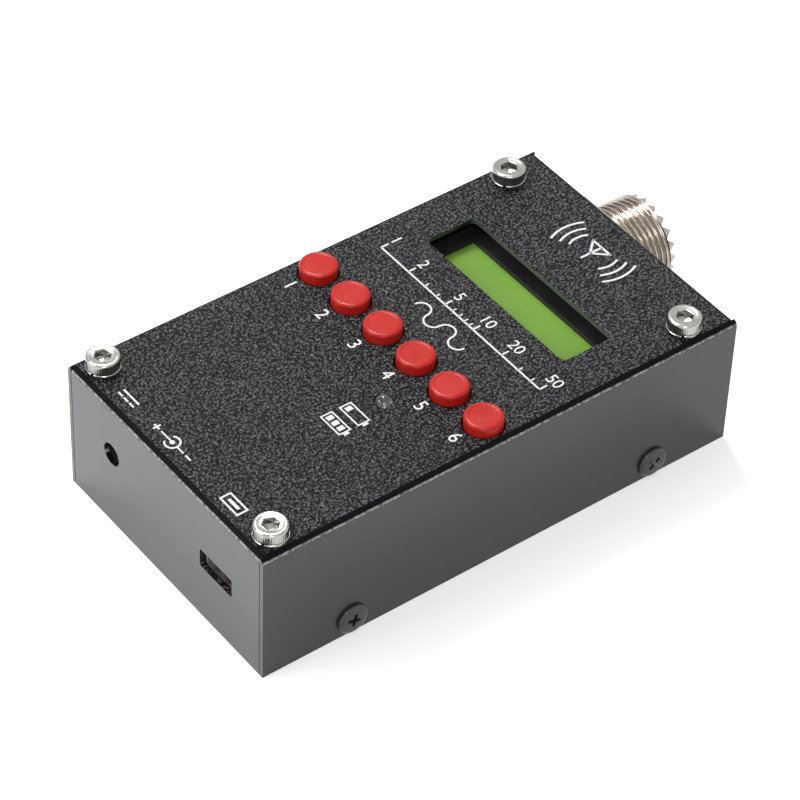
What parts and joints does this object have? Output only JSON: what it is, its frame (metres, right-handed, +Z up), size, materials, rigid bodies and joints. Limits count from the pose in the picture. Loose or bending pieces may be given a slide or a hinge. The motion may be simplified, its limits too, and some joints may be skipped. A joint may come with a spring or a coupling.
{
  "type": "antenna analyzer",
  "caption": "Hand-held antenna analyzer: folded metal case with a display window, a row of round push buttons, a threaded coaxial socket, a power inlet and a data socket.",
  "frame": {"origin": "centre of the case's underside, where it rests", "axes": "+Y along the case towards the end with the coaxial socket, +X to the right as the panel is read, +Z up out of the panel"},
  "size_m": [0.054, 0.1036, 0.0278],
  "materials": {
    "case_paint": "black wrinkle powder coat",
    "floor_paint": "smooth black powder coat",
    "screw_steel": "bright stainless",
    "spacer_metal": "nickel plated",
    "black_screw": "black oxide, slightly glossy",
    "board_green": "green solder mask",
    "display_green": "yellow green display, frosted",
    "light_plastic": "translucent light guide",
    "bezel_black": "matt black sheet",
    "header_plastic": "black nylon",
    "pin_metal": "tinned",
    "switch_metal": "bare sheet",
    "stem_plastic": "black nylon",
    "button_red": "glossy moulded red",
    "lamp_clear": "clear epoxy",
    "coax_nickel": "warm nickel plate",
    "coax_white": "white low-loss plastic",
    "contact_brass": "plated brass",
    "slider_plastic": "black nylon",
    "cell_foil": "satin pouch foil",
    "foam_grey": "adhesive foam",
    "lead_sleeve": "smooth sleeve",
    "plug_white": "natural nylon",
    "chip_black": "moulded epoxy",
    "ferrite": "sintered grey"
  },
  "bodies": {
    "case": {"top_cover": "case_paint", "bottom_cover": "floor_paint", "case_screws": "screw_steel", "lock_washers": "screw_steel", "spacers": "spacer_metal", "board_nuts": "spacer_metal", "display_screws": "spacer_metal", "side_screws": "black_screw", "main_board": "board_green", "display_board": "board_green", "battery_guard": "board_green", "display_glass": "display_green", "display_light": "light_plastic", "display_bezel": "bezel_black", "display_header": "header_plastic", "display_spacers": "header_plastic", "switch_bodies": "header_plastic", "inlet_body": "header_plastic", "lamp_tube": "header_plastic", "power_housing": "header_plastic", "usb_tongue": "header_plastic", "display_pins": "pin_metal", "switch_legs": "pin_metal", "lamp_leads": "pin_metal", "chip_legs": "pin_metal", "inlet_pin": "pin_metal", "usb_contacts": "pin_metal", "switch_plates": "switch_metal", "usb_shell": "switch_metal", "power_frame": "switch_metal", "crystal": "switch_metal", "charge_lamp": "lamp_clear", "coax_body": "coax_nickel", "coax_nut": "coax_nickel", "coax_washer": "coax_nickel", "coax_insulator": "coax_white", "coax_contact": "contact_brass", "ground_tag": "contact_brass", "battery_cells": "cell_foil", "battery_pads": "foam_grey", "battery_leads": "lead_sleeve", "battery_plug": "plug_white", "battery_header": "plug_white", "chips": "chip_black", "power_inductor": "chip_black", "capacitors": "chip_black", "bridge_cores": "ferrite"},
    "button_1": {"button_1_cap": "button_red", "button_1_stem": "stem_plastic"},
    "button_2": {"button_2_cap": "button_red", "button_2_stem": "stem_plastic"},
    "button_3": {"button_3_cap": "button_red", "button_3_stem": "stem_plastic"},
    "button_4": {"button_4_cap": "button_red", "button_4_stem": "stem_plastic"},
    "button_5": {"button_5_cap": "button_red", "button_5_stem": "stem_plastic"},
    "button_6": {"button_6_cap": "button_red", "button_6_stem": "stem_plastic"},
    "power_knob": {"power_slider": "slider_plastic"}
  },
  "joints": [
    {"name": "button_1_press", "type": "slide", "parent": "case", "child": "button_1", "axis": [0, 0, -1], "range_m": [0, 0.0003], "stiffness_N_per_m": 5300},
    {"name": "button_2_press", "type": "slide", "parent": "case", "child": "button_2", "axis": [0, 0, -1], "range_m": [0, 0.0003], "stiffness_N_per_m": 5300},
    {"name": "button_3_press", "type": "slide", "parent": "case", "child": "button_3", "axis": [0, 0, -1], "range_m": [0, 0.0003], "stiffness_N_per_m": 5300},
    {"name": "button_4_press", "type": "slide", "parent": "case", "child": "button_4", "axis": [0, 0, -1], "range_m": [0, 0.0003], "stiffness_N_per_m": 5300},
    {"name": "button_5_press", "type": "slide", "parent": "case", "child": "button_5", "axis": [0, 0, -1], "range_m": [0, 0.0003], "stiffness_N_per_m": 5300},
    {"name": "button_6_press", "type": "slide", "parent": "case", "child": "button_6", "axis": [0, 0, -1], "range_m": [0, 0.0003], "stiffness_N_per_m": 5300},
    {"name": "power_slide", "type": "slide", "parent": "case", "child": "power_knob", "axis": [1, 0, 0], "range_m": [0, 0.002]}
  ]
}
